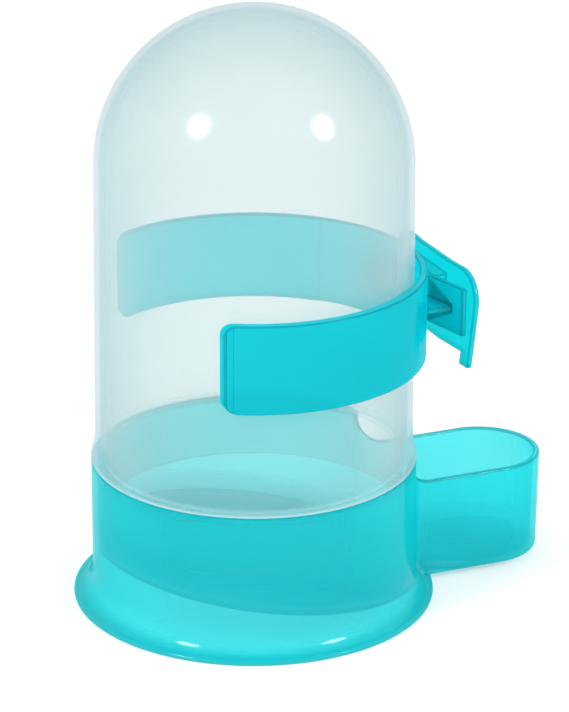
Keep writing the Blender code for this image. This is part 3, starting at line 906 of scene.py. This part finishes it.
BASE_LOOK = {
    "body": (0.004, 0.64, 0.68),
    "glow_body": (0.04, 0.95, 0.97),
    "glow_share": 0.50,
    "tint": (0.48, 0.97, 0.98),
    "roughness": 0.09,
    "gloss": 0.013,
    "edge_body": (0.003, 0.38, 0.42),
    "edge_share": 0.85,
    # Foot bead: thick moulding. Collar top: painted shade under the bottle's lip, in both share and
    # colour
    "share": ((0.0, 0.75), (0.0010, 0.70), (0.0030, 0.29))
             + stops_from(COLLAR_HEIGHT, (-0.0017, 0.29), (-0.0006, 0.60), (0.0, 0.70)),
    "thickness_and_painted_light": ((0.0, 1.0), (0.0010, 1.0), (0.0030, 0.0))
             + stops_from(COLLAR_HEIGHT, (-0.0017, 0.0), (-0.0006, 0.8), (0.0, 1.0)),
    "thickness_and_painted_light_body": (0.004, 0.40, 0.44),
    "thickness_and_painted_light_glow": (0.03, 0.84, 0.88),
    # Painted shade: a dark line where the floor meets the walls, fading up the walls above the floor
    "painted_shade": stops_from(FLOOR_LEVEL, (-0.0060, 0.0), (-0.0019, 0.0), (-0.0016, 1.0),
                       (0.0002, 0.60), (0.0080, 0.25), (0.0240, 0.0)),
    "painted_shade_way": FLOOR_NORMAL,
    "painted_shade_body": (0.001, 0.28, 0.33),
    "painted_shade_glow": (0.02, 0.82, 0.87),
    "painted_shade_share": 0.90,
    "rounded_body": (0.002, 0.39, 0.44),
    "rounded_share": 0.75,
}
CLIP_LOOK = {
    "body": (0.002, 0.48, 0.55),
    "glow_body": (0.012, 0.88, 0.95),
    "glow_share": 0.78,
    "tint": (0.12, 0.94, 0.97),
    "roughness": 0.14,
    "gloss": 0.007,
    "edge_body": (0.002, 0.37, 0.43),
    "edge_share": 0.88,
    # Clip top face: painted lighter, standing in for light from above
    "share": stops_from(CLIP_TOP, (-0.0282, 0.54), (-0.0003, 0.54), (-0.0001, 0.80), (0.0018, 0.80)),
    "thickness_and_painted_light": stops_from(CLIP_TOP, (-0.0282, 0.0), (-0.0003, 0.0), (-0.0001, 1.0), (0.0018, 1.0)),
    "thickness_and_painted_light_body": (0.130, 0.64, 0.69),
    "thickness_and_painted_light_glow": (0.130, 0.66, 0.71),
    # Painted shade on the neck, gusset, flange and hook in front of the ring
    "painted_shade": stops_from(CLIP_FRONT, (-0.0040, 0.0), (0.0, 0.0), (0.0006, 1.0), (0.0100, 1.0)),
    "painted_shade_way": OUTWARD,
    "painted_shade_body": (0.010, 0.42, 0.47),
    "painted_shade_glow": (0.040, 0.76, 0.80),
    "painted_shade_share": 0.0,
    "rounded_body": (0.001, 0.41, 0.48),
    "rounded_share": 0.75,
}


# Stage, light and camera

def shown_directly(nodes, links):
    """1 for what the camera sees straight, mirrored or through plastic, else 0."""
    path = nodes.new("ShaderNodeLightPath")
    total = None
    for name in ("Is Camera Ray", "Is Glossy Ray", "Is Transmission Ray"):
        if total is None:
            total = path.outputs[name]
            continue
        pick = nodes.new("ShaderNodeMath")
        pick.operation = "MAXIMUM"
        links.new(total, pick.inputs[0])
        links.new(path.outputs[name], pick.inputs[1])
        total = pick.outputs[0]
    return total


def make_world():
    """Even light from all round, with white behind what the camera sees."""
    world = bpy.data.worlds.new("studio")
    bpy.context.scene.world = world
    world.use_nodes = True
    nodes = world.node_tree.nodes
    links = world.node_tree.links
    nodes.clear()
    soft = nodes.new("ShaderNodeBackground")
    soft.inputs["Color"].default_value = (1.0, 1.0, 1.0, 1.0)
    soft.inputs["Strength"].default_value = SOFT_LIGHT
    white = nodes.new("ShaderNodeBackground")
    white.inputs["Color"].default_value = (1.0, 1.0, 1.0, 1.0)
    white.inputs["Strength"].default_value = 1.0
    mix = nodes.new("ShaderNodeMixShader")
    out = nodes.new("ShaderNodeOutputWorld")
    links.new(shown_directly(nodes, links), mix.inputs["Fac"])
    links.new(soft.outputs[0], mix.inputs[1])
    links.new(white.outputs[0], mix.inputs[2])
    links.new(mix.outputs[0], out.inputs["Surface"])


def make_floor():
    """A pale floor that keeps a soft shadow."""
    shape = bmesh.new()
    bmesh.ops.create_circle(shape, cap_ends=True, segments=FLOOR_SEGMENTS, radius=FLOOR_REACH)
    mesh = bpy.data.meshes.new("floor")
    shape.to_mesh(mesh)
    shape.free()
    floor = link("floor", mesh)
    material = bpy.data.materials.new("pale_floor")
    material.use_nodes = True
    nodes = material.node_tree.nodes
    links = material.node_tree.links
    nodes.clear()
    matt = nodes.new("ShaderNodeBsdfDiffuse")
    matt.inputs["Color"].default_value = (FLOOR_GREY, FLOOR_GREY, FLOOR_GREY, 1.0)
    white = nodes.new("ShaderNodeEmission")
    white.inputs["Strength"].default_value = 1.0
    share = nodes.new("ShaderNodeMath")
    share.operation = "MULTIPLY"
    share.inputs[1].default_value = FLOOR_GLOW
    mix = nodes.new("ShaderNodeMixShader")
    out = nodes.new("ShaderNodeOutputMaterial")
    links.new(shown_directly(nodes, links), share.inputs[0])
    links.new(share.outputs[0], mix.inputs["Fac"])
    links.new(matt.outputs[0], mix.inputs[1])
    links.new(white.outputs[0], mix.inputs[2])
    links.new(mix.outputs[0], out.inputs["Surface"])
    mesh.materials.append(material)


def camera_axes():
    """Right, up and backward directions of the camera in the part's frame."""
    turn = Matrix.Rotation(-CAMERA_TURN, 3, "Z")
    forward = turn @ Vector((0.0, math.cos(CAMERA_ELEVATION), -math.sin(CAMERA_ELEVATION)))
    right = turn @ Vector((1.0, 0.0, 0.0))
    up = right.cross(forward)
    roll_right = right * math.cos(CAMERA_ROLL) + up * math.sin(CAMERA_ROLL)
    roll_up = up * math.cos(CAMERA_ROLL) - right * math.sin(CAMERA_ROLL)
    return roll_right, roll_up, -forward


def camera_aim():
    """The point that the camera looks at."""
    turn = Matrix.Rotation(-CAMERA_TURN, 3, "Z")
    return turn @ Vector((CAMERA_AIM_RIGHT, 0.0, CAMERA_AIM_HEIGHT)) + Vector((AXIS_X, 0.0, 0.0))


def make_camera():
    right, up, back = camera_axes()
    data = bpy.data.cameras.new("camera")
    data.sensor_width = SENSOR
    data.lens = FOCAL_PIXELS * SENSOR / PHOTO_LONG_SIDE
    data.clip_start = CAMERA_NEAR
    data.clip_end = CAMERA_FAR
    camera = bpy.data.objects.new("camera", data)
    bpy.context.scene.collection.objects.link(camera)
    turned_to = Matrix((right, up, back)).transposed().to_4x4()
    camera.matrix_world = Matrix.Translation(camera_aim() + back * CAMERA_DISTANCE) @ turned_to
    bpy.context.scene.camera = camera


def make_lamp(name, direction, size, power):
    """A round soft lamp, given by its direction in the camera's axes."""
    right, up, back = camera_axes()
    aim = Vector((AXIS_X, 0.0, LAMP_AIM_HEIGHT))
    way = (right * direction[0] + up * direction[1] + back * direction[2]).normalized()
    data = bpy.data.lights.new(name, "AREA")
    data.shape = "DISK"
    data.size = size
    data.energy = power
    lamp = bpy.data.objects.new(name, data)
    bpy.context.scene.collection.objects.link(lamp)
    lamp.location = aim + way * LAMP_DISTANCE
    lamp.rotation_euler = (-way).to_track_quat("-Z", "Y").to_euler()


frosted = plastic_material("frosted_bottle_plastic", FROSTED_LOOK)
teal_base = plastic_material("teal_base_plastic", BASE_LOOK)
teal_clip = plastic_material("teal_clip_plastic", CLIP_LOOK)
make_bottle(frosted)
make_base(teal_base)
make_clip(teal_clip)
make_world()
make_floor()
make_camera()
make_lamp("left_lamp", (-0.60, 0.39, 0.70), 0.28, 9.0)
make_lamp("right_lamp", (0.73, 0.37, 0.57), 0.30, 7.0)
bpy.context.scene.view_settings.view_transform = "Standard"
